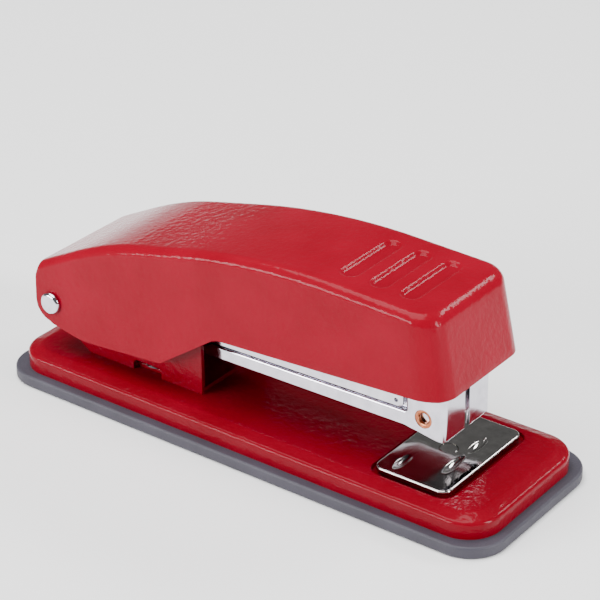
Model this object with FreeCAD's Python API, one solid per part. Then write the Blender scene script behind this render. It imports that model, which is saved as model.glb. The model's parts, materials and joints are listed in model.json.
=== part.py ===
import FreeCAD, Part
import math
import os

# Compact desk stapler, in millimetres.
# +X points to the nose, +Y to its left side and +Z up.
# The origin is on the table under the middle of the pad.
# The arm, the staple cover and the magazine all turn on one hinge pin at the rear.

os.makedirs("parts", exist_ok=True)
V = FreeCAD.Vector

# Rubber pad under the base
PAD_LENGTH = 108.2
PAD_WIDTH = 38.0
PAD_CORNER_R = 7.2
PAD_FLOOR = 1.4
PAD_RIM_TOP = 2.3
PAD_EDGE_R = 0.45
FINGER_HOLE_R = 5.5

# Pressed steel base pan
PAN_INSET = 1.96
PAN_CORNER_R = 6.7
PAN_TOP = 6.2
PAN_SHEET = 0.9
PAN_SIDE_TOP = 5.45
SHOULDER_WIDTH = 2.7
SIDE_BEND_R = 0.8
SHOULDER_BEND_R = 2.5

# Anvil that turns on its rivet
ANVIL_X = 34.9
ANVIL_LENGTH = 15.2
ANVIL_WIDTH = 24.8
ANVIL_CORNER_R = 1.9
ANVIL_BOTTOM = 6.24
ANVIL_TOP = 7.0
MOAT_OUTSIDE = 0.9
MOAT_INSIDE = 1.5
MOAT_DEPTH = 0.8
MOAT_SEAT = 0.9
POCKET_DEPTH = 0.5
POCKET_WIDTH = 1.7
CLINCH_POCKETS = ((3.5, 3.85, 6.6), (-4.1, 8.25, 5.4))
ANVIL_RIVET_R = 1.3
ANVIL_HEAD_R = 1.7
BUTTON_R = 4.0

# Hinge pin, and the bracket that holds it over the base
PIN_X = -45.0
PIN_Z = 16.2
PIN_R = 1.5
PIN_RUN = 0.05
PIN_HEAD_R = 2.2
PIN_HEAD_IN = 13.58
PIN_HEAD_OUT = 14.4
PIN_HEAD_DOME = 0.7
BRACKET_OUT = 10.16
BRACKET_SHEET = 0.86
BRACKET_FRONT = -11.9
BRACKET_REAR = -38.9
BRACKET_TOP = 17.0
BRACKET_EAR_R = 3.5
WINDOW_X = (-28.2, -21.6)
WINDOW_TOP = 8.3
RIVET_SPOTS = ((-25.0, 6.6), (-25.0, -6.6), (-35.0, 0.0))
RIVET_HEAD_R = 2.5
RIVET_SHANK_R = 1.4

# Magazine, drawn level and then turned up about the pin to where the lift spring holds it
MAGAZINE_TILT = 0.8
MAG_OUT = 7.25
MAG_SHEET = 0.8
MAG_FLOOR = 12.2
MAG_WALL_TOP = (14.8, 15.5)
EAR_R = 4.0
NOSE_REAR = 30.5
NOSE_FRONT = 38.4
NOSE_TOP = 23.5
NOSE_LOW = 11.55
NOSE_BEND_R = 1.0
FLOOR_BEND_R = 0.6
NOSE_SLOT = 1.45
STAPLE_GAP = 1.6
SIDE_HOLE_X = 34.1
SIDE_HOLE_Z = 15.0
SIDE_HOLE_R = 1.7
EYELET_R = 0.95
EYELET_INSET = 0.15
EYELET_FLARE = 0.4

# Staple rail, pusher and its guide rod
RAIL_OUT = 5.65
RAIL_SHEET = 0.7
RAIL_TOP = 18.8
RAIL_REAR = -34.0
RAIL_SLOT = 2.4
ROD_Z = 15.9
ROD_R = 0.9
ROD_REAR = -38.4
ROD_PLATE = 0.8
PUSHER_X = (21.8, 35.8)
PUSHER_OUT = 6.3
PUSHER_SHEET = 0.5
PUSHER_TOP = 19.6
SPRING_R = 2.0
SPRING_WIRE = 0.45

# Staple cover above the magazine walls
COVER_GAP = 0.35
COVER_FRONT = 30.0
COVER_TOP = 21.8
COVER_EAR_IN = 7.4
COVER_EAR_R = 2.8

# Arm: one deep-drawn steel skin
ARM_SHEET = 0.8
ARM_REAR = -48.9
ARM_HALF_AT_PIN = 13.45
ARM_SIDE_DRAFT = 0.03
ARM_FRONT_X = 41.6
ARM_FRONT_Z = 23.7
ARM_FRONT_DRAFT = 0.21
ARM_CORNER_R = 4.6
ARM_EDGE_R = 2.0
ARM_LOFT_Z = (6.0, 44.0)
ROOF_LINE = ((-53.0, 21.2, 0.0), (-33.0, 31.4, 60.0), (2.0, 39.6, 130.0), (52.0, 38.1, 0.0))
SKIRT_LINE = (
    (-48.9, 12.2, 4.0),
    (-37.8, 10.5, 12.0),
    (-19.0, 12.0, 1.2),
    (-6.3, 20.9, 1.6),
    (60.0, 24.9, 0.0),
)
LIP_BOTTOM = 21.6
GROOVE_X = (18.0, 24.2, 30.4)
GROOVE_ROOF = (39.1, 38.94, 38.75)
GROOVE_DEPTH = 0.8
GROOVE_WIDTH = 3.5
GROOVE_REACH = 6.2

# Driver blade and the angle plate that carries it under the arm
BLADE_TIP = (36.6, 20.3)
BLADE_TOP = 36.4
BLADE_HALF = 6.3
BLADE_THICK = 0.5
BLADE_LEAN = 2.5
CARRIER_SHEET = 0.8
CARRIER_LOW = 30.5
CARRIER_TOP = 37.15
CARRIER_REAR = 24.0
DRIVER_RIVET_Y = (-3.5, 3.5)
DRIVER_RIVET_Z = 33.4
DRIVER_RIVET_R = 0.9
DRIVER_HEAD_R = 1.5

# Leaf springs
LEAF = 0.45
LIFT_HALF = 3.5
LIFT_PATH = ((-38.0, 7.07, 0.0), (-30.5, 7.07, 6.0), (-15.0, 11.75, 1.5), (-12.8, 11.1, 0.0))
RETURN_HALF = 4.0
RETURN_PATH = ((-25.0, 31.95, 0.0), (-15.5, 34.2, 2.5), (5.5, 23.2, 2.0), (8.5, 23.9, 0.0))


def rounded_wire(corners, plane, level):
    """Closed wire through (u, v, radius) corners, in the XZ plane at y=level or the XY plane at z=level."""
    flat = [V(u, v, 0) for u, v, _ in corners]
    stops = []
    for i, (_, _, radius) in enumerate(corners):
        here = flat[i]
        to_last = (flat[i - 1] - here).normalize()
        to_next = (flat[(i + 1) % len(flat)] - here).normalize()
        half_angle = to_last.getAngle(to_next) / 2
        setback = radius / math.tan(half_angle)
        inward = (to_last + to_next).normalize() * (radius / math.sin(half_angle) - radius)
        stops.append((here + to_last * setback, here + inward, here + to_next * setback))

    def place(point):
        return V(point.x, level, point.y) if plane == "XZ" else V(point.x, point.y, level)

    edges = []
    for i, (start, middle, end) in enumerate(stops):
        if corners[i][2] > 0:
            edges.append(Part.Arc(place(start), place(middle), place(end)).toShape())
        following = stops[(i + 1) % len(stops)][0]
        if (following - end).Length > 1e-6:
            edges.append(Part.makeLine(place(end), place(following)))
    return Part.Wire(edges)


def slab(corners, y0, y1):
    """Side-view outline pushed from y0 to y1."""
    return Part.Face(rounded_wire(corners, "XZ", y0)).extrude(V(0, y1 - y0, 0))


def plate(x0, x1, half_y, z0, z1, radius):
    """Flat rectangular plate with rounded corners, centred on the XZ plane."""
    corners = [(x0, -half_y, radius), (x1, -half_y, radius), (x1, half_y, radius), (x0, half_y, radius)]
    return Part.Face(rounded_wire(corners, "XY", z0)).extrude(V(0, 0, z1 - z0))


def block(x0, x1, y0, y1, z0, z1):
    return Part.makeBox(x1 - x0, y1 - y0, z1 - z0, V(x0, y0, z0))


def rod_x(y, z, radius, x0, x1):
    return Part.makeCylinder(radius, x1 - x0, V(x0, y, z), V(1, 0, 0))


def rod_y(x, z, radius, y0, y1):
    return Part.makeCylinder(radius, y1 - y0, V(x, y0, z), V(0, 1, 0))


def rod_z(x, y, radius, z0, z1):
    return Part.makeCylinder(radius, z1 - z0, V(x, y, z0), V(0, 0, 1))


def mirrored(shape):
    """The shape and its mirror image on the other side of the XZ plane."""
    return [shape, shape.mirror(V(0, 0, 0), V(0, 1, 0))]


def joined(shapes):
    return shapes[0].fuse(shapes[1:]).removeSplitter()


def softened(shape, radius, wanted):
    """Round each edge whose midpoint passes the test."""
    middles = [edge.valueAt((edge.FirstParameter + edge.LastParameter) / 2) for edge in shape.Edges]
    edges = [edge for edge, middle in zip(shape.Edges, middles) if wanted(middle)]
    return shape.makeFillet(radius, edges)


def tilted(shape):
    """Turn a piece drawn with the magazine level up to its place at rest."""
    return shape.rotated(V(PIN_X, 0, PIN_Z), V(0, -1, 0), MAGAZINE_TILT)


def pin_bore():
    return rod_y(PIN_X, PIN_Z, PIN_R + PIN_RUN, -20, 20)


def strip(path, half_width):
    """Leaf spring of even thickness along (x, z, bend radius) points."""
    upper = [(x, z + LEAF, radius) for x, z, radius in reversed(path)]
    return slab(list(path) + upper, -half_width, half_width)


# ---- base ----

def rubber_pad():
    half_x = PAD_LENGTH / 2
    pad = plate(-half_x, half_x, PAD_WIDTH / 2, 0, PAD_RIM_TOP, PAD_CORNER_R)
    pad = softened(pad, PAD_EDGE_R, lambda p: p.z < 0.01 or p.z > PAD_RIM_TOP - 0.01)
    seat_x = half_x - PAN_INSET
    seat = plate(-seat_x, seat_x, PAD_WIDTH / 2 - PAN_INSET, PAD_FLOOR, PAD_RIM_TOP + 1, PAN_CORNER_R)
    return pad.cut(seat).cut(rod_z(ANVIL_X, 0, FINGER_HOLE_R, -1, PAD_FLOOR + 1))


def pan_outline(inset, z):
    x = PAD_LENGTH / 2 - PAN_INSET - inset
    y = PAD_WIDTH / 2 - PAN_INSET - inset
    radius = PAN_CORNER_R - inset
    return rounded_wire([(-x, -y, radius), (x, -y, radius), (x, y, radius), (-x, y, radius)], "XY", z)


def anvil_blank(grow, z0, z1):
    """The anvil's outline, larger by grow all round."""
    half_x = ANVIL_LENGTH / 2 + grow
    return plate(ANVIL_X - half_x, ANVIL_X + half_x, ANVIL_WIDTH / 2 + grow, z0, z1, ANVIL_CORNER_R + grow)


def base_pan():
    side = Part.Face(pan_outline(0, PAD_FLOOR)).extrude(V(0, 0, PAN_SIDE_TOP - PAD_FLOOR))
    outlines = [pan_outline(0, PAN_SIDE_TOP), pan_outline(SHOULDER_WIDTH, PAN_TOP)]
    shoulder = Part.makeLoft(outlines, True, True)
    pan = joined([side, shoulder])
    pan = softened(pan, SIDE_BEND_R, lambda p: abs(p.z - PAN_SIDE_TOP) < 0.01)
    pan = softened(pan, SHOULDER_BEND_R, lambda p: p.z > PAN_TOP - 0.01)
    hollow = Part.Face(pan_outline(PAN_SHEET, PAD_FLOOR)).extrude(V(0, 0, PAN_TOP - PAN_SHEET - PAD_FLOOR))
    anvil_seat = anvil_blank(MOAT_OUTSIDE + MOAT_SEAT, PAN_TOP - MOAT_DEPTH - MOAT_SEAT, PAN_TOP)
    moat = anvil_blank(MOAT_OUTSIDE, PAN_TOP - MOAT_DEPTH, PAN_TOP + 1)
    island = anvil_blank(-MOAT_INSIDE, PAN_TOP - MOAT_DEPTH, PAN_TOP + 1)
    pan = pan.cut(hollow.cut(anvil_seat)).cut(moat.cut(island))
    pan = pan.cut(rod_z(ANVIL_X, 0, ANVIL_RIVET_R + PIN_RUN, 0, 10))
    for x, y in RIVET_SPOTS:
        pan = pan.cut(rod_z(x, y, RIVET_SHANK_R, 0, 10))
    return pan


def hinge_bracket():
    out = BRACKET_OUT
    inner = BRACKET_OUT - BRACKET_SHEET
    ear = PIN_X - BRACKET_EAR_R
    wall = slab(
        [
            (BRACKET_REAR, PAN_TOP, 1.0),
            (BRACKET_FRONT, PAN_TOP, 0.0),
            (BRACKET_FRONT, BRACKET_TOP, 1.2),
            (-40.0, PIN_Z + BRACKET_EAR_R, 8.0),
            (ear, PIN_Z + BRACKET_EAR_R, BRACKET_EAR_R - 0.01),
            (ear, PIN_Z - BRACKET_EAR_R, BRACKET_EAR_R - 0.01),
        ],
        -out,
        -inner,
    )
    window = slab(
        [
            (WINDOW_X[0], PAN_TOP - 1, 0.0),
            (WINDOW_X[1], PAN_TOP - 1, 0.0),
            (WINDOW_X[1], WINDOW_TOP, 0.9),
            (WINDOW_X[0], WINDOW_TOP, 0.9),
        ],
        -out - 1,
        -inner + 0.6,
    )
    half = out - 0.2
    floor = block(BRACKET_REAR + 1, BRACKET_FRONT - 0.4, -half, half, PAN_TOP, PAN_TOP + BRACKET_SHEET)
    bracket = joined(mirrored(wall) + [floor])
    for cutter in mirrored(window):
        bracket = bracket.cut(cutter)
    for x, y in RIVET_SPOTS:
        bracket = bracket.cut(rod_z(x, y, RIVET_SHANK_R, 0, 10))
    return bracket.cut(rod_y(PIN_X, PIN_Z, PIN_R, -20, 20))


def domed_head(x, y, z, radius, height):
    """Shallow round rivet head: the cap of a large ball, flat side down."""
    ball_r = (radius ** 2 + height ** 2) / (2 * height)
    ball = Part.makeSphere(ball_r, V(x, y, z + height - ball_r))
    return ball.common(rod_z(x, y, radius + 1, z, z + height + 1))


def bracket_rivets():
    seat = PAN_TOP + BRACKET_SHEET
    rivets = []
    for x, y in RIVET_SPOTS:
        lift = LEAF + PIN_RUN if y == 0 else 0
        head = domed_head(x, y, seat + lift, RIVET_HEAD_R, 1.35)
        shank = rod_z(x, y, RIVET_SHANK_R, PAN_TOP - PAN_SHEET - 0.5, seat + lift)
        tail = rod_z(x, y, RIVET_HEAD_R - 0.3, PAN_TOP - PAN_SHEET - 0.9, PAN_TOP - PAN_SHEET)
        rivets.append(joined([head, shank, tail]))
    return Part.makeCompound(rivets)


def hinge_pin():
    shank = rod_y(PIN_X, PIN_Z, PIN_R, -PIN_HEAD_IN, PIN_HEAD_IN)
    head = rod_y(PIN_X, PIN_Z, PIN_HEAD_R, -PIN_HEAD_OUT, -PIN_HEAD_IN)
    head = softened(head, PIN_HEAD_DOME, lambda p: p.y < -PIN_HEAD_OUT + 0.01)
    return joined([shank] + mirrored(head))


def pin_rings(y_in, y_out, radius):
    """A pair of rings on the hinge pin, one each side."""
    ring = rod_y(PIN_X, PIN_Z, radius, y_in, y_out).cut(rod_y(PIN_X, PIN_Z, PIN_R, y_in - 1, y_out + 1))
    return Part.makeCompound(mirrored(ring))


def lift_spring():
    spring = strip(LIFT_PATH, LIFT_HALF)
    x, y = RIVET_SPOTS[2]
    return spring.cut(rod_z(x, y, RIVET_SHANK_R, 0, 10))


def anvil_spring():
    """Dished washer that pulls the anvil down on its seat."""
    low = PAN_TOP - MOAT_DEPTH - MOAT_SEAT - 1.15
    outer = Part.makeCone(1.9, 3.4, 1.1, V(ANVIL_X, 0, low))
    inner = Part.makeCone(1.5, 3.0, 1.1, V(ANVIL_X, 0, low))
    return outer.cut(inner)


# ---- anvil ----

def anvil_plate():
    shape = anvil_blank(0, ANVIL_BOTTOM, ANVIL_TOP)
    shape = softened(shape, 0.3, lambda p: p.z > ANVIL_TOP - 0.01)
    for offset, y_mid, length in CLINCH_POCKETS:
        for side in (-1, 1):
            x = ANVIL_X + offset
            reach = (length - POCKET_WIDTH) / 2
            ball_r = (POCKET_WIDTH ** 2 / 4 + POCKET_DEPTH ** 2) / (2 * POCKET_DEPTH)
            z = ANVIL_TOP - POCKET_DEPTH + ball_r
            trough = rod_y(x, z, ball_r, side * y_mid - reach, side * y_mid + reach)
            ends = [Part.makeSphere(ball_r, V(x, side * y_mid + end, z)) for end in (-reach, reach)]
            shape = shape.cut(joined([trough] + ends))
    return shape.cut(rod_z(ANVIL_X, 0, ANVIL_HEAD_R, 0, 10))


def anvil_rivet():
    head = rod_z(ANVIL_X, 0, ANVIL_HEAD_R, ANVIL_BOTTOM, ANVIL_TOP)
    head = softened(head, 0.2, lambda p: p.z > ANVIL_TOP - 0.01)
    return joined([head, rod_z(ANVIL_X, 0, ANVIL_RIVET_R, 2.2, ANVIL_BOTTOM)])


def anvil_button():
    button = rod_z(ANVIL_X, 0, BUTTON_R, 2.0, 3.1)
    button = softened(button, 0.35, lambda p: p.z < 2.01)
    return button.cut(rod_z(ANVIL_X, 0, ANVIL_RIVET_R, 2.2, 5))


# ---- magazine ----

def magazine_wall():
    ear = PIN_X - EAR_R
    low_rear, low_front = MAG_WALL_TOP
    return slab(
        [
            (ear, PIN_Z - EAR_R, EAR_R - 0.01),
            (33.0, MAG_FLOOR, 0.0),
            (36.6, NOSE_LOW, 0.6),
            (NOSE_FRONT, NOSE_LOW, 0.0),
            (NOSE_FRONT, NOSE_TOP, 0.0),
            (NOSE_REAR, NOSE_TOP, 1.0),
            (NOSE_REAR, low_front, 0.3),
            (-41.0, low_rear, 1.5),
            (-43.0, PIN_Z + EAR_R, 1.5),
            (ear, PIN_Z + EAR_R, EAR_R - 0.01),
        ],
        -MAG_OUT,
        -MAG_OUT + MAG_SHEET,
    )


def magazine_channel():
    rail_end = NOSE_FRONT - MAG_SHEET - STAPLE_GAP
    inner = MAG_OUT - MAG_SHEET
    floor = block(ROD_REAR - 2.0, rail_end, -inner - 0.1, inner + 0.1, MAG_FLOOR, MAG_FLOOR + MAG_SHEET)
    front = block(NOSE_FRONT - MAG_SHEET, NOSE_FRONT, -MAG_OUT, MAG_OUT, NOSE_LOW, NOSE_TOP)
    channel = joined(mirrored(magazine_wall()) + [floor, front])
    channel = softened(
        channel, NOSE_BEND_R, lambda p: p.x > NOSE_FRONT - 0.01 and abs(p.y) > MAG_OUT - 0.01
    )
    channel = softened(
        channel, FLOOR_BEND_R, lambda p: abs(p.z - MAG_FLOOR) < 0.01 and abs(p.y) > MAG_OUT - 0.01
    )
    slot = block(NOSE_FRONT - MAG_SHEET - 0.01, NOSE_FRONT + 1, -NOSE_SLOT / 2, NOSE_SLOT / 2, 0, 40)
    foot = [(NOSE_FRONT - 0.45, 11.0, 0), (NOSE_FRONT + 1, 11.0, 0), (NOSE_FRONT + 1, 12.5, 0)]
    foot_cut = slab(foot, -9, 9)
    side_hole = rod_y(SIDE_HOLE_X, SIDE_HOLE_Z, SIDE_HOLE_R, -10, 10)
    return tilted(channel.cut(slot).cut(foot_cut).cut(side_hole).cut(pin_bore()))


def staple_rail():
    front = NOSE_FRONT - MAG_SHEET - STAPLE_GAP
    low = MAG_FLOOR + MAG_SHEET
    rail = block(RAIL_REAR, front, -RAIL_OUT, RAIL_OUT, low, RAIL_TOP)
    rail = softened(rail, 0.9, lambda p: p.z > RAIL_TOP - 0.01 and abs(p.y) > RAIL_OUT - 0.01)
    inner = RAIL_OUT - RAIL_SHEET
    hollow = block(RAIL_REAR - 1, front - RAIL_SHEET, -inner, inner, low - 1, RAIL_TOP - RAIL_SHEET)
    slot = plate(RAIL_REAR + 3, front - 4, RAIL_SLOT / 2, RAIL_TOP - 2, RAIL_TOP + 1, RAIL_SLOT / 2 - 0.01)
    socket = rod_x(0, ROD_Z, ROD_R, front - 2, front + 1)
    return tilted(rail.cut(hollow).cut(slot).cut(socket))


def nose_eyelets():
    """Flared eyelets pressed into the holes in the nose."""
    face = -MAG_OUT + EYELET_INSET
    ring = rod_y(SIDE_HOLE_X, SIDE_HOLE_Z, SIDE_HOLE_R, face, -MAG_OUT + MAG_SHEET)
    ring = ring.cut(rod_y(SIDE_HOLE_X, SIDE_HOLE_Z, EYELET_R, -10, 0))
    boxes = [(edge, edge.BoundBox) for edge in ring.Edges]
    mouth = [edge for edge, box in boxes if box.YMax < face + 0.01 and box.XLength < 2 * EYELET_R + 0.1]
    return tilted(Part.makeCompound(mirrored(ring.makeFillet(EYELET_FLARE, mouth))))


def guide_rod():
    return tilted(rod_x(0, ROD_Z, ROD_R, ROD_REAR, NOSE_FRONT - MAG_SHEET - STAPLE_GAP))


def rod_bracket():
    """Angle plate at the rear of the magazine that holds the guide rod."""
    low = MAG_FLOOR + MAG_SHEET
    half = MAG_OUT - MAG_SHEET - 0.15
    upright = block(-37.6, -37.6 + ROD_PLATE, -half, half, low, RAIL_TOP)
    foot = block(-37.6, RAIL_REAR - 0.2, -half, half, low, low + ROD_PLATE)
    return tilted(joined([upright, foot]).cut(rod_x(0, ROD_Z, ROD_R, -45, -30)))


def pusher_spring():
    """Outer shape of the coil spring round the guide rod."""
    rear = -37.6 + ROD_PLATE
    tube = rod_x(0, ROD_Z, SPRING_R, rear, PUSHER_X[0])
    return tilted(tube.cut(rod_x(0, ROD_Z, SPRING_R - SPRING_WIRE, rear - 1, PUSHER_X[0] + 1)))


# ---- pusher ----

def staple_pusher():
    x0, x1 = PUSHER_X
    low = MAG_FLOOR + MAG_SHEET + 0.3
    shoe = block(x0, x1, -PUSHER_OUT, PUSHER_OUT, low, PUSHER_TOP)
    shoe = softened(shoe, 0.8, lambda p: p.z > PUSHER_TOP - 0.01 and abs(p.y) > PUSHER_OUT - 0.01)
    inner = PUSHER_OUT - PUSHER_SHEET
    return tilted(shoe.cut(block(x0 - 1, x1 + 1, -inner, inner, low - 1, PUSHER_TOP - PUSHER_SHEET)))


def pusher_slider():
    """Eye that runs on the guide rod, with a tongue up through the rail's slot."""
    x0 = PUSHER_X[0]
    eye = rod_x(0, ROD_Z, 1.95, x0, x0 + 4)
    tongue = block(x0 + 0.5, x0 + 3.5, -0.9, 0.9, ROD_Z, PUSHER_TOP - PUSHER_SHEET)
    return tilted(joined([eye, tongue]).cut(rod_x(0, ROD_Z, ROD_R + 0.08, x0 - 1, x0 + 5)))


# ---- staple cover ----

def staple_cover():
    low_rear = MAG_WALL_TOP[0] + COVER_GAP
    low_front = MAG_WALL_TOP[1] + COVER_GAP
    inner = MAG_OUT - MAG_SHEET
    skin = block(-39.0, COVER_FRONT, -MAG_OUT, MAG_OUT, low_rear - 1, COVER_TOP)
    skin = softened(skin, 0.9, lambda p: p.z > COVER_TOP - 0.01 and abs(p.y) > MAG_OUT - 0.01)
    skin = skin.cut(block(-40.0, COVER_FRONT + 1, -inner, inner, 0, COVER_TOP - MAG_SHEET))
    side_view = slab(
        [
            (-39.0, low_rear, 0.5),
            (COVER_FRONT, low_front, 1.1),
            (COVER_FRONT, COVER_TOP + 1, 0.0),
            (-39.0, COVER_TOP + 1, 2.5),
        ],
        -20,
        20,
    )
    skin = skin.common(side_view)
    ear = PIN_X - COVER_EAR_R
    cheek = slab(
        [
            (ear, PIN_Z - COVER_EAR_R, COVER_EAR_R - 0.01),
            (-43.0, PIN_Z - COVER_EAR_R, 2.0),
            (-40.5, low_rear + 0.4, 1.0),
            (-35.5, low_rear + 0.4, 0.5),
            (-35.5, COVER_TOP - 0.6, 1.0),
            (-42.0, COVER_TOP - 0.6, 2.5),
            (ear, PIN_Z + COVER_EAR_R, COVER_EAR_R - 0.01),
        ],
        -COVER_EAR_IN - MAG_SHEET,
        -COVER_EAR_IN,
    )
    joggle = block(-38.6, -35.8, -COVER_EAR_IN - 0.1, -MAG_OUT + 0.1, low_rear + 0.8, COVER_TOP - 1.2)
    cover = joined([skin] + mirrored(cheek) + mirrored(joggle))
    pip = rod_y(COVER_FRONT - 1.5, low_front + 1.1, 0.35, -10, 10)
    return tilted(cover.cut(pip).cut(pin_bore()))


# ---- arm ----

def arm_plan(z, inset):
    """The arm seen from above at height z: square at the rear, with two rounded corners in front."""
    half = ARM_HALF_AT_PIN - (z - PIN_Z) * ARM_SIDE_DRAFT - inset
    front = ARM_FRONT_X - (z - ARM_FRONT_Z) * ARM_FRONT_DRAFT - inset
    rear = ARM_REAR + inset
    radius = ARM_CORNER_R - inset
    corners = [(rear, -half, 0), (front, -half, radius), (front, half, radius), (rear, half, 0)]
    return rounded_wire(corners, "XY", z)


def arm_block(inset):
    """Solid of the arm's outside, or of its hollow when inset by the sheet."""
    low, high = ARM_LOFT_Z
    sides = Part.makeLoft([arm_plan(low, inset), arm_plan(high, inset)], True, True)
    roof = [(x, z - inset, radius) for x, z, radius in ROOF_LINE]
    under_roof = slab([(ROOF_LINE[0][0], 0, 0)] + roof + [(ROOF_LINE[-1][0], 0, 0)], -20, 20)
    body = sides.common(under_roof)
    rim = []
    for edge in body.Edges:
        middle = edge.valueAt((edge.FirstParameter + edge.LastParameter) / 2)
        on_roof = sum(1 for face in under_roof.Faces if face.distToShape(Part.Vertex(middle))[0] < 1e-4)
        across = abs(middle.y) < 0.01 and middle.x < ARM_FRONT_X - ARM_CORNER_R
        if on_roof and not across:
            rim.append(edge)
    return body.makeFillet(ARM_EDGE_R - inset, rim)


def groove_tool(x, roof_z, grow):
    """Round-bottomed trough across the arm, larger by grow."""
    trough_r = (GROOVE_WIDTH ** 2 / 4 + GROOVE_DEPTH ** 2) / (2 * GROOVE_DEPTH)
    z = roof_z - GROOVE_DEPTH + trough_r
    trough = rod_y(x, z, trough_r + grow, -GROOVE_REACH, GROOVE_REACH)
    ends = [Part.makeSphere(trough_r + grow, V(x, y, z)) for y in (-GROOVE_REACH, GROOVE_REACH)]
    return joined([trough] + ends)


def arm_shell():
    hollow = arm_block(ARM_SHEET)
    shell = arm_block(0)
    for x, roof_z in zip(GROOVE_X, GROOVE_ROOF):
        hollow = hollow.cut(groove_tool(x, roof_z, ARM_SHEET))
        shell = shell.cut(groove_tool(x, roof_z, 0))
    half = ARM_HALF_AT_PIN - ARM_SHEET - (LIP_BOTTOM - PIN_Z) * ARM_SIDE_DRAFT
    rear_mouth = block(ARM_REAR - 1, ARM_REAR + ARM_SHEET + 0.2, -half, half, 0, LIP_BOTTOM)
    kept = list(SKIRT_LINE) + [(60.0, 60.0, 0), (-48.2, 60.0, 0), (-48.2, 24.1, 0), (ARM_REAR, 22.4, 0.8)]
    shell = shell.cut(hollow).cut(rear_mouth).common(slab(kept, -20, 20))
    return shell.cut(pin_bore())


def leaning(shape):
    """Lean a piece of the driver back about the blade's tip."""
    return shape.rotated(V(BLADE_TIP[0], 0, BLADE_TIP[1]), V(0, -1, 0), BLADE_LEAN)


def driver_blade():
    x, z = BLADE_TIP
    blade = block(x - BLADE_THICK / 2, x + BLADE_THICK / 2, -BLADE_HALF, BLADE_HALF, z, BLADE_TOP)
    for y in DRIVER_RIVET_Y:
        blade = blade.cut(rod_x(y, DRIVER_RIVET_Z, DRIVER_RIVET_R, x - 2, x + 2))
    return leaning(blade)


def driver_carrier():
    front = BLADE_TIP[0] - BLADE_THICK / 2
    upright = block(front - CARRIER_SHEET, front, -BLADE_HALF, BLADE_HALF, CARRIER_LOW, CARRIER_TOP - 0.4)
    for y in DRIVER_RIVET_Y:
        upright = upright.cut(rod_x(y, DRIVER_RIVET_Z, DRIVER_RIVET_R, front - 2, front + 1))
    low = CARRIER_TOP - CARRIER_SHEET
    shelf = block(CARRIER_REAR, front - 0.9, -BLADE_HALF, BLADE_HALF, low, CARRIER_TOP)
    return joined([leaning(upright), shelf])


def driver_rivets():
    front = BLADE_TIP[0] + BLADE_THICK / 2
    rear = BLADE_TIP[0] - BLADE_THICK / 2 - CARRIER_SHEET
    rivets = []
    for y in DRIVER_RIVET_Y:
        shank = rod_x(y, DRIVER_RIVET_Z, DRIVER_RIVET_R, rear, front)
        front_head = rod_x(y, DRIVER_RIVET_Z, DRIVER_HEAD_R, front, front + 0.4)
        rear_head = rod_x(y, DRIVER_RIVET_Z, DRIVER_HEAD_R, rear - 0.6, rear)
        rivets.append(leaning(joined([shank, front_head, rear_head])))
    return Part.makeCompound(rivets)


NODES = {
    "rubber_pad": rubber_pad(),
    "base_pan": base_pan(),
    "hinge_bracket": hinge_bracket(),
    "bracket_rivets": bracket_rivets(),
    "hinge_pin": hinge_pin(),
    "pivot_washers": pin_rings(BRACKET_OUT + 0.05, ARM_HALF_AT_PIN - ARM_SHEET - 0.22, 2.9),
    "pivot_spacers": pin_rings(COVER_EAR_IN + MAG_SHEET + 0.1, BRACKET_OUT - BRACKET_SHEET - 0.05, 2.6),
    "lift_spring": lift_spring(),
    "anvil_spring": anvil_spring(),
    "anvil_plate": anvil_plate(),
    "anvil_rivet": anvil_rivet(),
    "anvil_button": anvil_button(),
    "magazine_channel": magazine_channel(),
    "staple_rail": staple_rail(),
    "nose_eyelets": nose_eyelets(),
    "guide_rod": guide_rod(),
    "rod_bracket": rod_bracket(),
    "pusher_spring": pusher_spring(),
    "staple_pusher": staple_pusher(),
    "pusher_slider": pusher_slider(),
    "staple_cover": staple_cover(),
    "arm_shell": arm_shell(),
    "driver_blade": driver_blade(),
    "driver_carrier": driver_carrier(),
    "driver_rivets": driver_rivets(),
    "return_spring": strip(RETURN_PATH, RETURN_HALF),
}

for name, shape in NODES.items():
    box = shape.BoundBox
    print(
        f"{name:18s} solids {len(shape.Solids)} valid {shape.isValid()} volume {shape.Volume:9.1f} "
        f"x {box.XMin:6.1f} {box.XMax:6.1f} y {box.YMin:6.1f} {box.YMax:6.1f} "
        f"z {box.ZMin:5.1f} {box.ZMax:5.1f}"
    )
    shape.exportStep(f"parts/{name}.step")
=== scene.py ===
import json
import math

import bpy
import bmesh
from mathutils import Matrix, Vector


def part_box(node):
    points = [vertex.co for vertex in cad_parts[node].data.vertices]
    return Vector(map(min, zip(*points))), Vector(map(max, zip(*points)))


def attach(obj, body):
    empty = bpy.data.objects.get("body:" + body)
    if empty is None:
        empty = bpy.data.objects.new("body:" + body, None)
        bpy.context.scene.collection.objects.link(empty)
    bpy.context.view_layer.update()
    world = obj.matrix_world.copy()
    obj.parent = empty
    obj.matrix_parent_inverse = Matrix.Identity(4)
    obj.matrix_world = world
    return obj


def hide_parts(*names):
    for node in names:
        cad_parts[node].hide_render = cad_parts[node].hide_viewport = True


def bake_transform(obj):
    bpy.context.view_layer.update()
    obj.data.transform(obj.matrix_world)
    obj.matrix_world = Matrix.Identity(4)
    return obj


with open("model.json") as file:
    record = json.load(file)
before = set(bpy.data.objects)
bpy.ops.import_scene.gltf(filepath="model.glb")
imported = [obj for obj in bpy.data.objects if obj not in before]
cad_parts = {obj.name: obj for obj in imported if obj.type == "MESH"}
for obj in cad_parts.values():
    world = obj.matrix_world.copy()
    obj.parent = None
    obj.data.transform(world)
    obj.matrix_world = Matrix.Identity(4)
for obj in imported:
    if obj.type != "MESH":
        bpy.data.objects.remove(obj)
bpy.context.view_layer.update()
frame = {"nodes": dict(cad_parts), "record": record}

MM = 0.001

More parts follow.
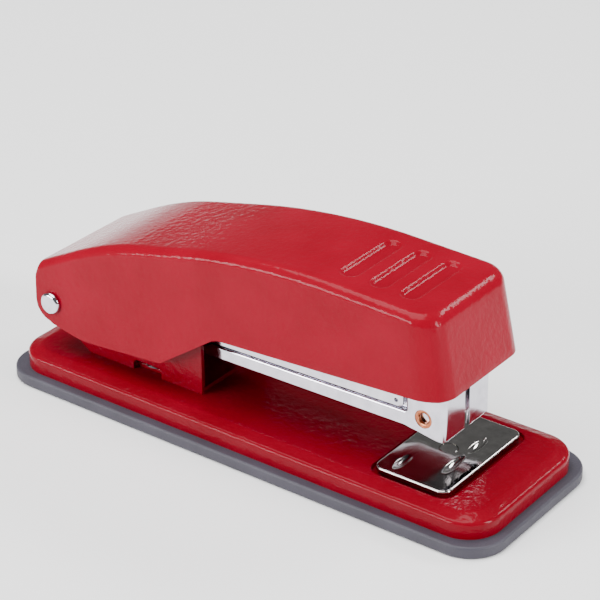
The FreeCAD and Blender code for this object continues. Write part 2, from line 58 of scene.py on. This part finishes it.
# ---------------------------------------------------------------- camera, floor and light

CAMERA_AZIMUTH = math.radians(36.61)
CAMERA_ELEVATION = math.radians(28.01)
CAMERA_ROLL = math.radians(-0.11)
CAMERA_PLACE = Vector((210.71, -279.94, 211.61)) * MM
LENS_MM = 133.5
SENSOR_MM = 36


def add_camera():
    flat = math.cos(CAMERA_ELEVATION)
    rise = math.sin(CAMERA_ELEVATION)
    back = Vector((math.sin(CAMERA_AZIMUTH) * flat, -math.cos(CAMERA_AZIMUTH) * flat, rise))
    lens = bpy.data.cameras.new("camera")
    lens.sensor_width = SENSOR_MM
    lens.lens = LENS_MM
    lens.clip_start = 0.01
    camera = bpy.data.objects.new("camera", lens)
    bpy.context.scene.collection.objects.link(camera)
    camera.location = CAMERA_PLACE
    turned = back.to_track_quat("Z", "Y").to_matrix() @ Matrix.Rotation(CAMERA_ROLL, 3, "Z")
    camera.rotation_euler = turned.to_euler()
    bpy.context.scene.camera = camera


def add_softbox(name, place, aim, width, height, watts):
    """Area light at place, turned to face aim."""
    light = bpy.data.lights.new(name, "AREA")
    light.shape = "RECTANGLE"
    light.size = width
    light.size_y = height
    light.energy = watts
    lamp = bpy.data.objects.new(name, light)
    bpy.context.scene.collection.objects.link(lamp)
    lamp.location = place
    lamp.rotation_euler = (Vector(place) - Vector(aim)).to_track_quat("Z", "Y").to_euler()


def add_world(strength):
    world = bpy.data.worlds.new("studio")
    world.use_nodes = True
    world.node_tree.nodes["Background"].inputs["Color"].default_value = (1, 1, 1, 1)
    world.node_tree.nodes["Background"].inputs["Strength"].default_value = strength
    bpy.context.scene.world = world


# ---------------------------------------------------------------- helpers for materials

def linear(hex_colour):
    """sRGB hex, such as "b01020", to a linear colour with alpha 1."""
    channels = [int(hex_colour[i:i + 2], 16) / 255 for i in (0, 2, 4)]
    return [c / 12.92 if c <= 0.04045 else ((c + 0.055) / 1.055) ** 2.4 for c in channels] + [1]


def per_mm(size):
    """Pattern scale on Object coordinates for a feature of this size in millimetres."""
    return 1 / (size * MM)


def add(material, kind, sockets=None, **properties):
    """Adds one shader node. A socket gets a value, or a link when it is given another node's output."""
    made = material.node_tree.nodes.new("ShaderNode" + kind)
    for name, value in properties.items():
        setattr(made, name, value)
    for name, value in (sockets or {}).items():
        if isinstance(value, bpy.types.NodeSocket):
            material.node_tree.links.new(value, made.inputs[name])
        else:
            made.inputs[name].default_value = value
    return made


def new_material(name):
    """Empty material, and the Object coordinates that its patterns read."""
    material = bpy.data.materials.new(name)
    material.use_nodes = True
    material.node_tree.nodes.clear()
    return material, add(material, "TexCoord").outputs["Object"]


def noise(material, place, size_mm, detail=2, roughness=0.5):
    sockets = {"Vector": place, "Scale": per_mm(size_mm), "Detail": detail, "Roughness": roughness}
    return add(material, "TexNoise", sockets).outputs["Fac"]


def stretched(material, place, stretch):
    """Object coordinates squeezed along the axes, so that a noise on them is drawn out."""
    return add(material, "Mapping", {"Vector": place, "Scale": stretch}).outputs["Vector"]


def between(material, factor, low, high):
    """A number that follows a noise from low to high."""
    span = {"Value": factor, "From Min": 0.3, "From Max": 0.7, "To Min": low, "To Max": high}
    return add(material, "MapRange", span).outputs["Result"]


def tint(material, factor, low_hex, high_hex):
    """A colour that follows a noise from low to high."""
    ramp = add(material, "ValToRGB", {"Fac": factor})
    ramp.color_ramp.elements[0].position = 0.3
    ramp.color_ramp.elements[0].color = linear(low_hex)
    ramp.color_ramp.elements[1].position = 0.7
    ramp.color_ramp.elements[1].color = linear(high_hex)
    return ramp.outputs["Color"]


def bumped(material, height, depth_mm, strength=1.0, under=None):
    sockets = {"Height": height, "Distance": depth_mm * MM, "Strength": strength}
    if under:
        sockets["Normal"] = under
    return add(material, "Bump", sockets).outputs["Normal"]


def finished(material, sockets):
    """Principled shader with these sockets, joined to the output."""
    shader = add(material, "BsdfPrincipled", sockets)
    add(material, "OutputMaterial", {"Surface": shader.outputs["BSDF"]})
    return material


# ---------------------------------------------------------------- materials

ENAMEL_PEEL_MM = 1.1
ENAMEL_GRAIN_MM = 0.35


def gloss_enamel(name, dark_hex, light_hex, peel_depth_mm):
    """Sprayed and baked enamel on steel: deep red under a clear gloss that ripples like orange peel."""
    material, place = new_material(name)
    cloud = noise(material, place, 9, 3)
    peel = noise(material, place, ENAMEL_PEEL_MM, 2, 0.45)
    grain = noise(material, place, ENAMEL_GRAIN_MM, 3, 0.6)
    ripple = bumped(material, peel, peel_depth_mm)
    flake = bumped(material, grain, 0.008, 0.8, ripple)
    return finished(material, {
        "Base Color": tint(material, cloud, dark_hex, light_hex),
        "Roughness": between(material, grain, 0.34, 0.46),
        "Normal": flake,
        "Specular IOR Level": 0.03,
        "Coat Weight": 1.0,
        "Coat Roughness": 0.045,
        "Coat IOR": 1.16,
        "Coat Normal": ripple,
    })


def nickel_plate(name, hex_low, hex_high, polish, line_depth_mm):
    """Bright nickel on rolled strip: mirror-like, slightly uneven, with faint lines along the strip."""
    material, place = new_material(name)
    lines = noise(material, stretched(material, place, (0.04, 1, 1)), 0.25, 3, 0.6)
    waves = noise(material, place, 5, 2)
    smudge = noise(material, place, 2.2, 4, 0.6)
    wavy = bumped(material, waves, 0.02)
    return finished(material, {
        "Base Color": tint(material, smudge, hex_low, hex_high),
        "Metallic": 1.0,
        "Roughness": between(material, smudge, polish, polish * 1.7),
        "Normal": bumped(material, lines, line_depth_mm, 1.0, wavy),
    })


def pad_rubber():
    """Moulded rubber, grey with a violet cast: satin, with a fine spark-eroded grain."""
    material, place = new_material("moulded_rubber")
    grain = noise(material, place, 0.3, 3, 0.6)
    cloud = noise(material, place, 7, 3)
    return finished(material, {
        "Base Color": tint(material, cloud, "302d37", "383540"),
        "Roughness": between(material, grain, 0.5, 0.66),
        "Normal": bumped(material, grain, 0.025),
    })


def spring_steel(name, hex_low, hex_high):
    """Hardened and ground strip or wire: darker than nickel, with short grinding lines."""
    material, place = new_material(name)
    lines = noise(material, stretched(material, place, (1, 0.1, 1)), 0.2, 3, 0.6)
    stain = noise(material, place, 3, 4, 0.6)
    return finished(material, {
        "Base Color": tint(material, stain, hex_low, hex_high),
        "Metallic": 1.0,
        "Roughness": between(material, lines, 0.2, 0.34),
        "Normal": bumped(material, lines, 0.006),
    })


def copper_plate():
    """Copper-plated steel tube, rolled over at its end: warm, a little dulled."""
    material, place = new_material("copper_plated_steel")
    dull = noise(material, place, 0.6, 3, 0.6)
    return finished(material, {
        "Base Color": tint(material, dull, "a65c3e", "c4825f"),
        "Metallic": 1.0,
        "Roughness": between(material, dull, 0.2, 0.38),
        "Normal": bumped(material, dull, 0.01),
    })


def nylon():
    """Moulded natural nylon: milky, waxy, with a faint mould grain."""
    material, place = new_material("moulded_nylon")
    grain = noise(material, place, 0.25, 2)
    cloud = noise(material, place, 2.5, 2)
    return finished(material, {
        "Base Color": tint(material, cloud, "d6d2c4", "e6e3d8"),
        "Roughness": between(material, grain, 0.36, 0.48),
        "Subsurface Weight": 0.15,
        "Subsurface Radius": (0.002, 0.0018, 0.0014),
        "Normal": bumped(material, grain, 0.008),
    })


def pale_table():
    """Matt white laminate under the stapler."""
    material, place = new_material("white_laminate")
    grain = noise(material, place, 0.8, 2)
    return finished(material, {
        "Base Color": linear("f4f4f4"),
        "Roughness": between(material, grain, 0.6, 0.7),
    })


FINISHES = {
    "arm_paint": gloss_enamel("baked_enamel_arm", "7c0017", "84011c", 0.075),
    "base_paint": gloss_enamel("baked_enamel_base", "6e0012", "760117", 0.1),
    "pad_rubber": pad_rubber(),
    "bright_nickel": nickel_plate("bright_nickel_plate", "c6c4ce", "dddbe4", 0.08, 0.003),
    "anvil_nickel": nickel_plate("polished_nickel_plate", "b4b1ae", "cbc8c5", 0.06, 0.0015),
    "spring_steel": spring_steel("ground_spring_steel", "8c8d90", "b4b5b8"),
    "rivet_copper": copper_plate(),
    "washer_nylon": nylon(),
}


# ---------------------------------------------------------------- helpers for meshes

NEAR = 0.01
BIT_SIDES = 64
BIT_LENGTH = 40

def deselect_all():
    if bpy.context.object and bpy.context.object.mode == "EDIT":
        bpy.ops.object.mode_set(mode="OBJECT")
    bpy.ops.object.select_all(action="DESELECT")


def make_active(piece):
    deselect_all()
    piece.select_set(True)
    bpy.context.view_layer.objects.active = piece


def edit(piece):
    make_active(piece)
    bpy.ops.object.mode_set(mode="EDIT")


def leave_edit():
    bpy.ops.object.mode_set(mode="OBJECT")


def pick(piece, kind, wanted):
    """In edit mode, selects only the vertices, edges or faces that pass the test."""
    bpy.ops.mesh.select_mode(type={"verts": "VERT", "edges": "EDGE", "faces": "FACE"}[kind])
    bpy.ops.mesh.select_all(action="DESELECT")
    mesh = bmesh.from_edit_mesh(piece.data)
    for element in getattr(mesh, kind):
        if wanted(element):
            element.select_set(True)
    mesh.select_flush_mode()
    bmesh.update_edit_mesh(piece.data)


def apply_modifier(piece, kind, **settings):
    make_active(piece)
    modifier = piece.modifiers.new(kind.lower(), kind)
    for name, value in settings.items():
        setattr(modifier, name, value)
    bpy.ops.object.modifier_apply(modifier=modifier.name)


def smooth(piece, angle=35):
    """Smooth shading that keeps flat faces flat beside their rounded edges."""
    make_active(piece)
    bpy.ops.object.shade_smooth_by_angle(angle=math.radians(angle))
    apply_modifier(piece, "WEIGHTED_NORMAL", keep_sharp=True, weight=100, mode="FACE_AREA")


def box_piece(name, low, high):
    """Cube primitive between two corners in millimetres, with its place in its mesh."""
    deselect_all()
    bpy.ops.mesh.primitive_cube_add(size=1)
    piece = bpy.context.object
    piece.name = name
    piece.data.name = name
    low = Vector(low) * MM
    high = Vector(high) * MM
    piece.data.transform(Matrix.Translation((low + high) / 2) @ Matrix.Diagonal((*(high - low), 1)))
    return piece


def dress(piece, body, slot, *nodes):
    """Gives a finished piece its body, its material and the CAD nodes that it stands for."""
    piece.data.materials.clear()
    piece.data.materials.append(FINISHES[slot])
    if body:
        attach(piece, body)
    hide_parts(*nodes)


def along(points, x):
    """Height at x of the line through (x, z) points."""
    for (x0, z0), (x1, z1) in zip(points, points[1:]):
        if x <= x1:
            break
    return z0 + (z1 - z0) * (x - x0) / (x1 - x0)


def spread(low, high, step):
    count = max(round((high - low) / step), 1)
    return [low + (high - low) * i / count for i in range(count + 1)]


def cut_across(piece, axis, places):
    """Cuts the whole piece by planes square to an axis, at places in millimetres."""
    normal = Vector((0, 0, 0))
    normal[axis] = 1
    for place in places:
        bpy.ops.mesh.select_all(action="SELECT")
        bpy.ops.mesh.bisect(plane_co=normal * place * MM, plane_no=normal)


def drill(piece, radius, place, turn):
    """Round hole through a piece, about an axis through a place."""
    deselect_all()
    bpy.ops.mesh.primitive_cylinder_add(vertices=BIT_SIDES, radius=radius * MM, depth=BIT_LENGTH * MM,
                                        location=place * MM, rotation=turn)
    bit = bpy.context.object
    apply_modifier(piece, "BOOLEAN", object=bit, operation="DIFFERENCE", solver="EXACT")
    bpy.data.objects.remove(bit)


# ---------------------------------------------------------------- arm

PIN_LOW, PIN_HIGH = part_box("hinge_pin")
PIN_X = (PIN_LOW.x + PIN_HIGH.x) / 2 / MM
PIN_Z = (PIN_LOW.z + PIN_HIGH.z) / 2 / MM
PIN_BORE_R = 1.56
ARM_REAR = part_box("arm_shell")[0].x / MM
ARM_SHEET = 0.8
ARM_HALF_AT_PIN = 13.45
SIDE_DRAFT = 0.03
FRONT_BOTTOM = (41.6, 23.7)
FRONT_DRAFT = 0.21
FRONT_TOP_X = 38.45
CORNER_R = 4.6
RIM_R = 2.0
REAR_R = 4.0
REAR_ROLL = (0.5, 0.9)
REAR_LIP = 0.99
ROOF = ((-60, 17.6), (-33, 31.4), (2, 39.6), (60, 37.86))
ROOF_BENDS = ((-33, 15), (2, 34.3))
SKIRT = ((-60, 14.86), (-37.8, 10.5), (-19, 12), (-6.3, 20.9), (60, 24.9))
SKIRT_BENDS = ((-37.8, 4), (-19, 0.8), (-6.3, 0.8))
GROOVE_X = (18.0, 24.2, 30.4)
GROOVE_HALF_LENGTH = 8.2
GROOVE_HALF_WIDTH = 2.05
GROOVE_FLOOR_HALF = 1.05
GROOVE_DEPTH = 0.7
BLANK_HALF = 13.0
BLANK_TOP = 30.0
FINE_X = (14.0, 33.4)
FINE_Y = 8.75
FINE_STEP = 0.25
BODY_STEP = 1.3
WALL_STEP = 3.5
FRONT_LEAN_RUN = 14
LEAN_PASSES = 6
ARM_EDGE_BREAK = 0.2
EDGE_CUTS = [RIM_R * (1 - math.tan(math.radians(angle))) for angle in (36, 27, 18, 9, 0)]
CORNER_CUTS = EDGE_CUTS + [2.5, 3.1, 3.8, CORNER_R]


def bent(line, bends, x):
    """Height at x of a line whose corners are eased into parabolas of a given length."""
    for corner, length in bends:
        run = x - (corner - length / 2)
        if 0 < run < length:
            start = along(line, corner - length / 2)
            before = along(line, corner) - along(line, corner - 0.5)
            after = along(line, corner + 0.5) - along(line, corner)
            return start + 2 * before * run + (after - before) * run ** 2 / length
    return along(line, x)


def roof_height(x):
    """The roof's ramp, arch and flat, rolled down at the rear end."""
    length, fall = REAR_ROLL
    past = max(ARM_REAR + length - x, 0) / length
    return bent(ROOF, ROOF_BENDS, x) - fall * past ** 1.5


def skirt_height(x):
    """Lower edge of the arm's side: round at the hinge, then down to the cheek and up to the nose."""
    centre = ARM_REAR + REAR_R
    if x < centre:
        return PIN_Z - math.sqrt(max(REAR_R ** 2 - (x - centre) ** 2, 0))
    return bent(SKIRT, SKIRT_BENDS, x)


def groove_drop(x, y):
    """How far the roof is pressed down here by the finger grooves."""
    past_end = max(abs(y) - (GROOVE_HALF_LENGTH - GROOVE_HALF_WIDTH), 0)
    reach = min(math.hypot(x - middle, past_end) for middle in GROOVE_X)
    wall = (GROOVE_HALF_WIDTH - reach) / (GROOVE_HALF_WIDTH - GROOVE_FLOOR_HALF)
    wall = min(max(wall, 0), 1)
    return GROOVE_DEPTH * wall * wall * (3 - 2 * wall)


def rounded_off(a, b, radius):
    """Moves a point near a square corner, given by its distances from the two sides, onto round contours."""
    core = Vector((max(a, radius), max(b, radius)))
    offset = Vector((a, b)) - core
    if offset.length < 1e-9:
        return Vector((a, b))
    return core + offset.normalized() * (radius - min(a, b))


def arm_point(u, v, w):
    """Where a point of the square blank lies on the drawn arm, in millimetres."""
    from_side = BLANK_HALF - abs(v)
    from_front = FRONT_TOP_X - u
    below = BLANK_TOP - w
    inward, down = rounded_off(min(from_side, from_front), min(below, RIM_R), RIM_R)
    nearest = min(from_side, from_front)
    scale = inward - nearest if nearest < RIM_R else 0
    side, front = rounded_off(from_side, from_front, CORNER_R)
    if nearest < CORNER_R:
        core = Vector((max(from_side, CORNER_R), max(from_front, CORNER_R)))
        outward = (Vector((from_side, from_front)) - core).normalized()
        side -= outward.x * scale
        front -= outward.y * scale
    x = u
    for _ in range(LEAN_PASSES):
        top = roof_height(x)
        z = top - down
        if below > RIM_R:
            share = (below - RIM_R) / (BLANK_TOP - RIM_R)
            low = skirt_height(x)
            z = (top - RIM_R) * (1 - share) + low * share
        lean = FRONT_BOTTOM[0] - (z - FRONT_BOTTOM[1]) * FRONT_DRAFT - FRONT_TOP_X
        x = FRONT_TOP_X - front + lean * max(1 - from_front / FRONT_LEAN_RUN, 0)
    y = ARM_HALF_AT_PIN - (z - PIN_Z) * SIDE_DRAFT - side
    if abs(v) < 1e-6:
        y = 0
    elif from_side >= CORNER_R:
        y *= abs(v) / (BLANK_HALF - from_side)
    return Vector((x, math.copysign(y, v) if y else 0, z))


def is_open_side(face):
    """The underside of the blank, and its rear end below the lip."""
    middle = face.calc_center_median() / MM
    rear = middle.x < ARM_REAR + NEAR and middle.z < BLANK_TOP - REAR_LIP
    return middle.z < NEAR or rear


def arm_skin():
    """Drawn steel arm: a cube cut into a grid, shaped to roof, rim and skirt, grooved and thickened."""
    piece = box_piece("arm_skin", (ARM_REAR, -BLANK_HALF, 0), (FRONT_TOP_X, BLANK_HALF, BLANK_TOP))
    edit(piece)
    centre = ARM_REAR + REAR_R
    hinge = [centre - REAR_R * math.cos(math.radians(a)) for a in range(10, 90, 10)]
    roll = [ARM_REAR + REAR_ROLL[0] * share for share in (0.33, 0.66, 1)]
    body = spread(centre, FINE_X[0], BODY_STEP) + spread(FINE_X[0], FINE_X[1], FINE_STEP)[1:]
    cut_across(piece, 0, roll + hinge + body + [FRONT_TOP_X - d for d in CORNER_CUTS])
    sides = [BLANK_HALF - d for d in CORNER_CUTS]
    middle = spread(-FINE_Y, FINE_Y, FINE_STEP)
    cut_across(piece, 1, middle + [y for s in sides for y in (s, -s) if s > FINE_Y + 0.2])
    cut_across(piece, 2, [BLANK_TOP - d for d in EDGE_CUTS] + spread(0, BLANK_TOP - RIM_R, WALL_STEP)[1:-1])
    pick(piece, "faces", is_open_side)
    bpy.ops.mesh.delete(type="FACE")
    mesh = bmesh.from_edit_mesh(piece.data)
    for vert in mesh.verts:
        place = arm_point(*(vert.co / MM))
        place.z -= groove_drop(place.x, place.y) if vert.co.z > (BLANK_TOP - NEAR) * MM else 0
        vert.co = place * MM
    bmesh.update_edit_mesh(piece.data)
    bpy.ops.mesh.select_all(action="SELECT")
    bpy.ops.mesh.normals_make_consistent(inside=False)
    leave_edit()
    apply_modifier(piece, "SOLIDIFY", thickness=ARM_SHEET * MM, offset=-1, use_even_offset=True)
    drill(piece, PIN_BORE_R, Vector((PIN_X, 0, PIN_Z)), (math.pi / 2, 0, 0))
    apply_modifier(piece, "BEVEL", width=ARM_EDGE_BREAK * MM, segments=3, limit_method="ANGLE",
                   angle_limit=math.radians(60))
    smooth(piece)
    dress(piece, "arm", "arm_paint", "arm_shell")


# ---------------------------------------------------------------- anvil

ANVIL_LOW, ANVIL_HIGH = (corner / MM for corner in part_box("anvil_plate"))
ANVIL_X = (ANVIL_LOW.x + ANVIL_HIGH.x) / 2
ANVIL_CORNER_R = 1.9
ANVIL_RIM_R = 0.3
ANVIL_RIVET_BORE_R = 1.74
CLINCH_POCKETS = ((3.5, 3.85, 6.8), (-4.1, 8.25, 5.8))
POCKET_HALF = 0.95
POCKET_DEPTH = 0.55
POCKET_LIP = 0.12
POCKET_STEP = 0.13


def pocket_depth(x, y):
    """Depth of the boat-shaped pockets that curl the staple's legs."""
    depth = 0
    for offset, middle, length in CLINCH_POCKETS:
        across = (x - ANVIL_X - offset) / POCKET_HALF
        lengthwise = (abs(y) - middle) / (length / 2)
        inside = max(1 - across ** 2 - lengthwise ** 2, 0)
        depth = max(depth, POCKET_DEPTH * inside ** 2 * (1 + POCKET_LIP) / (inside + POCKET_LIP))
    return depth


def anvil_skin():
    """Anvil: a cube with round corners and a turned-down rim, gridded and sunk at the four pockets."""
    piece = box_piece("anvil_skin", ANVIL_LOW, ANVIL_HIGH)
    edit(piece)
    pick(piece, "edges", lambda e: abs(e.verts[0].co.z - e.verts[1].co.z) > 0.1 * MM)
    bpy.ops.mesh.bevel(offset=ANVIL_CORNER_R * MM, segments=10)
    pick(piece, "edges", lambda e: all(v.co.z > (ANVIL_HIGH.z - NEAR) * MM for v in e.verts))
    bpy.ops.mesh.bevel(offset=ANVIL_RIM_R * MM, segments=4)
    columns = []
    rows = []
    for offset, middle, length in CLINCH_POCKETS:
        centre = ANVIL_X + offset
        columns += spread(centre - POCKET_HALF, centre + POCKET_HALF, POCKET_STEP)
        rows += spread(middle - length / 2, middle + length / 2, POCKET_STEP * 1.5)
    cut_across(piece, 0, columns)
    cut_across(piece, 1, [side * y for y in rows for side in (1, -1)])
    mesh = bmesh.from_edit_mesh(piece.data)
    for vert in mesh.verts:
        x, y, z = vert.co / MM
        if z > ANVIL_HIGH.z - NEAR:
            vert.co.z -= pocket_depth(x, y) * MM
    bmesh.update_edit_mesh(piece.data)
    bpy.ops.mesh.select_all(action="SELECT")
    bpy.ops.mesh.normals_make_consistent(inside=False)
    leave_edit()
    drill(piece, ANVIL_RIVET_BORE_R, Vector((ANVIL_X, 0, ANVIL_LOW.z)), (0, 0, 0))
    smooth(piece, 60)
    dress(piece, "anvil", "anvil_nickel", "anvil_plate")


# ---------------------------------------------------------------- copies of CAD pieces, edges broken

EDGE_BREAK_MM = {
    "base_pan": 0.12,
    "hinge_bracket": 0.14,
    "magazine_channel": 0.12,
    "staple_cover": 0.12,
}


def broken_edges(node, body, slot, width_mm):
    """Welded copy of a CAD node with its sharp edges rounded, as a deburred pressing has them."""
    source = frame["nodes"][node]
    piece = bpy.data.objects.new(node + "_pressing", source.data.copy())
    bpy.context.scene.collection.objects.link(piece)
    edit(piece)
    bpy.ops.mesh.customdata_custom_splitnormals_clear()
    bpy.ops.mesh.select_all(action="SELECT")
    bpy.ops.mesh.remove_doubles(threshold=0.000001)
    bpy.ops.mesh.dissolve_limited(angle_limit=math.radians(0.5))
    leave_edit()
    apply_modifier(piece, "BEVEL", width=width_mm * MM, segments=2, limit_method="ANGLE",
                   angle_limit=math.radians(40), use_clamp_overlap=False)
    smooth(piece)
    dress(piece, body, slot, node)


# ---------------------------------------------------------------- springs

LEAF = 0.45
LEAF_STEP = 0.3
LEAF_CORNER = 1.0
LEAF_EDGE_BREAK = 0.08
LIFT_LINE = ((-38, 7.07), (-30.5, 7.07), (-15, 11.75), (-12.8, 11.1))
LIFT_BENDS = ((-30.5, 2.4), (-15, 1.0))
LIFT_HALF = 3.5
RETURN_LINE = ((-25, 31.95), (-15.5, 34.2), (5.5, 23.2), (8.5, 23.9))
RETURN_BENDS = ((-15.5, 3.6), (5.5, 2.4))
RETURN_HALF = 4.0
MAGAZINE_TILT = math.radians(0.8)
ROD_Z = 15.9
COIL_ENDS = (-36.75, 21.75)
COIL_R = 2.0
COIL_WIRE = 0.45
COIL_TURNS = 32
COIL_STEPS = 20


def leaf(name, line, bends, half):
    """Blade of spring strip: a cube cut along its length, bent to the line, its edges ground round."""
    low, high = line[0][0], line[-1][0]
    piece = box_piece(name, (low, -half, 0), (high, half, LEAF))
    edit(piece)
    cut_across(piece, 0, spread(low, high, LEAF_STEP)[1:-1])

    def is_end_corner(e):
        at_end = all(min(abs(v.co.x / MM - low), abs(v.co.x / MM - high)) < NEAR for v in e.verts)
        return at_end and abs(e.verts[0].co.z - e.verts[1].co.z) > 0.1 * MM

    pick(piece, "edges", is_end_corner)
    bpy.ops.mesh.bevel(offset=LEAF_CORNER * MM, segments=5)
    mesh = bmesh.from_edit_mesh(piece.data)
    for vert in mesh.verts:
        vert.co.z += bent(line, bends, vert.co.x / MM) * MM
    bmesh.update_edit_mesh(piece.data)
    leave_edit()
    apply_modifier(piece, "BEVEL", width=LEAF_EDGE_BREAK * MM, segments=2, limit_method="ANGLE",
                   angle_limit=math.radians(60))
    smooth(piece)
    return piece


def on_tilt(x, z):
    """A place in the magazine, given as if it lay flat, with the magazine tipped about the hinge pin."""
    run, rise = x - PIN_X, z - PIN_Z
    tipped_x = PIN_X + run * math.cos(MAGAZINE_TILT) - rise * math.sin(MAGAZINE_TILT)
    tipped_z = PIN_Z + run * math.sin(MAGAZINE_TILT) + rise * math.cos(MAGAZINE_TILT)
    return Vector((tipped_x, 0, tipped_z)) * MM


def pusher_coil():
    """Compression spring on the guide rod: a small circle screwed round the rod."""
    deselect_all()
    bpy.ops.mesh.primitive_circle_add(vertices=10, radius=COIL_WIRE / 2 * MM, fill_type="NOTHING")
    piece = bpy.context.object
    piece.name = "pusher_coil"
    edit(piece)
    bpy.ops.mesh.select_all(action="SELECT")
    bpy.ops.transform.translate(value=(0, (COIL_R - COIL_WIRE / 2) * MM, 0))
    leave_edit()
    length = COIL_ENDS[1] - COIL_ENDS[0] - COIL_WIRE
    apply_modifier(piece, "SCREW", axis="X", angle=2 * math.pi, screw_offset=length / COIL_TURNS * MM,
                   iterations=COIL_TURNS, steps=COIL_STEPS, render_steps=COIL_STEPS, use_merge_vertices=False)
    edit(piece)
    bpy.ops.mesh.select_all(action="SELECT")
    bpy.ops.mesh.remove_doubles(threshold=0.000005)
    pick(piece, "edges", lambda e: e.is_boundary)
    bpy.ops.mesh.edge_face_add()
    bpy.ops.mesh.select_all(action="SELECT")
    bpy.ops.mesh.normals_make_consistent(inside=False)
    leave_edit()
    start = on_tilt(COIL_ENDS[0] + COIL_WIRE / 2, ROD_Z)
    piece.data.transform(Matrix.Translation(start) @ Matrix.Rotation(-MAGAZINE_TILT, 4, "Y"))
    smooth(piece)
    return piece


def springs():
    lift = leaf("lift_leaf", LIFT_LINE, LIFT_BENDS, LIFT_HALF)
    dress(lift, None, "spring_steel", "lift_spring")
    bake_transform(lift)
    lever = leaf("return_leaf", RETURN_LINE, RETURN_BENDS, RETURN_HALF)
    dress(lever, None, "spring_steel", "return_spring")
    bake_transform(lever)
    coil = pusher_coil()
    dress(coil, None, "spring_steel", "pusher_spring")
    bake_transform(coil)


# ---------------------------------------------------------------- build

add_camera()
add_world(0.16)
add_softbox("overhead_softbox", (-0.15, -0.1, 0.9), (0, 0, 0), 0.9, 0.7, 17)
add_softbox("low_left_softbox", (-0.55, -0.95, 0.34), (-0.02, 0, 0.02), 0.8, 0.25, 17)
add_softbox("low_right_softbox", (1.0, 0.1, 0.36), (0, 0, 0.02), 0.25, 0.6, 13)
add_softbox("rear_key_softbox", (0.3, 0.85, 0.78), (0, 0, 0.02), 0.5, 0.16, 5)
add_softbox("horizon_softbox", (-1.0, 1.2, 0.1), (0, 0, 0.03), 1.4, 0.18, 0.8)

deselect_all()
bpy.ops.mesh.primitive_plane_add(size=6)
table = bpy.context.object
table.name = "table"
table.data.materials.append(pale_table())

subparts = {part["node"]: part["material_slot"] for part in frame["record"]["subparts"]}
body_of = {node: body for body, nodes in frame["record"]["behaviour"]["bodies"].items() for node in nodes}
for node, piece in frame["nodes"].items():
    for slot in piece.material_slots:
        slot.material = FINISHES[subparts[node]]

arm_skin()
anvil_skin()
springs()
for node, width in EDGE_BREAK_MM.items():
    broken_edges(node, body_of[node], subparts[node], width)
